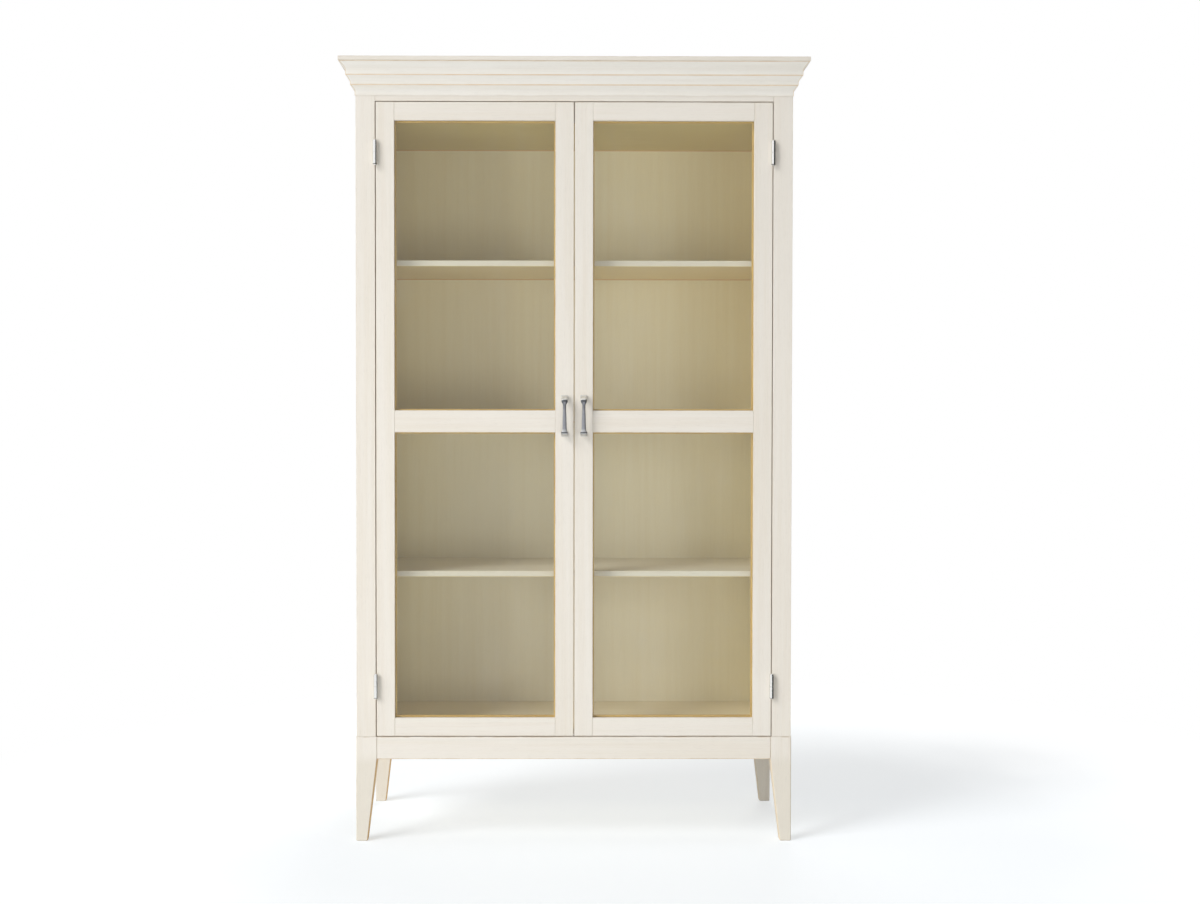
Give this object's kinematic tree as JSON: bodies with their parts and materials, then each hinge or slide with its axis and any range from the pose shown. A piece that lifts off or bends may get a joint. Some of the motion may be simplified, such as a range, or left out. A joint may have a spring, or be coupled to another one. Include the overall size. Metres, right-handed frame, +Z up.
{
  "type": "display cabinet",
  "caption": "Tall display cabinet with glazed double doors on lift-off hinges, shelves, a stepped cornice and square tapered legs.",
  "frame": {"origin": "on the floor, at the middle of the whole cabinet's bounding box", "axes": "+Z up, the doors face -Y, +X is to the right seen from the front"},
  "size_m": [1.193, 0.459, 2],
  "materials": {
    "painted_wood": "cream wash over wood, satin",
    "interior_wood": "pale wash over wood, satin",
    "bare_wood": "bare wood, lightly oiled",
    "clear_glass": "polished clear glass",
    "nickel": "satin nickel plate",
    "pewter": "rubbed grey cast metal"
  },
  "bodies": {
    "cabinet": {"leg_front_left": "painted_wood", "leg_front_right": "painted_wood", "leg_rear_left": "painted_wood", "leg_rear_right": "painted_wood", "apron_front": "painted_wood", "apron_rear": "painted_wood", "apron_left": "painted_wood", "apron_right": "painted_wood", "side_panel_left": "painted_wood", "side_panel_right": "painted_wood", "face_stile_left": "painted_wood", "face_stile_right": "painted_wood", "frieze_rail": "painted_wood", "cornice_front": "painted_wood", "cornice_left": "painted_wood", "cornice_right": "painted_wood", "top_board": "painted_wood", "floor_panel": "interior_wood", "ceiling_panel": "interior_wood", "back_panel": "interior_wood", "door_stop_rail": "interior_wood", "shelf_lower": "interior_wood", "shelf_middle": "interior_wood", "shelf_upper": "interior_wood", "left_catch_magnet": "nickel", "right_catch_magnet": "nickel", "left_lower_frame_leaf": "nickel", "left_upper_frame_leaf": "nickel", "right_lower_frame_leaf": "nickel", "right_upper_frame_leaf": "nickel", "left_lower_hinge_pin": "nickel", "left_upper_hinge_pin": "nickel", "right_lower_hinge_pin": "nickel", "right_upper_hinge_pin": "nickel"},
    "left_door": {"left_door_hinge_stile": "painted_wood", "left_door_meeting_stile": "painted_wood", "left_door_top_rail": "painted_wood", "left_door_middle_rail": "painted_wood", "left_door_bottom_rail": "painted_wood", "left_door_glazing_bead_upper": "bare_wood", "left_door_glazing_bead_lower": "bare_wood", "left_door_glass_upper": "clear_glass", "left_door_glass_lower": "clear_glass", "left_door_handle": "pewter", "left_door_strike_plate": "nickel", "left_lower_door_leaf": "nickel", "left_upper_door_leaf": "nickel"},
    "right_door": {"right_door_hinge_stile": "painted_wood", "right_door_meeting_stile": "painted_wood", "right_door_top_rail": "painted_wood", "right_door_middle_rail": "painted_wood", "right_door_bottom_rail": "painted_wood", "right_door_glazing_bead_upper": "bare_wood", "right_door_glazing_bead_lower": "bare_wood", "right_door_glass_upper": "clear_glass", "right_door_glass_lower": "clear_glass", "right_door_handle": "pewter", "right_door_strike_plate": "nickel", "right_lower_door_leaf": "nickel", "right_upper_door_leaf": "nickel"}
  },
  "joints": [
    {"name": "left_door_hinge", "type": "hinge", "parent": "cabinet", "child": "left_door", "pos_m": [-0.5073, -0.1968, 1.08195], "axis": [0, 0, -1], "range_deg": [0, 175]},
    {"name": "right_door_hinge", "type": "hinge", "parent": "cabinet", "child": "right_door", "pos_m": [0.5073, -0.1968, 1.08195], "axis": [0, 0, 1], "range_deg": [0, 175]}
  ]
}
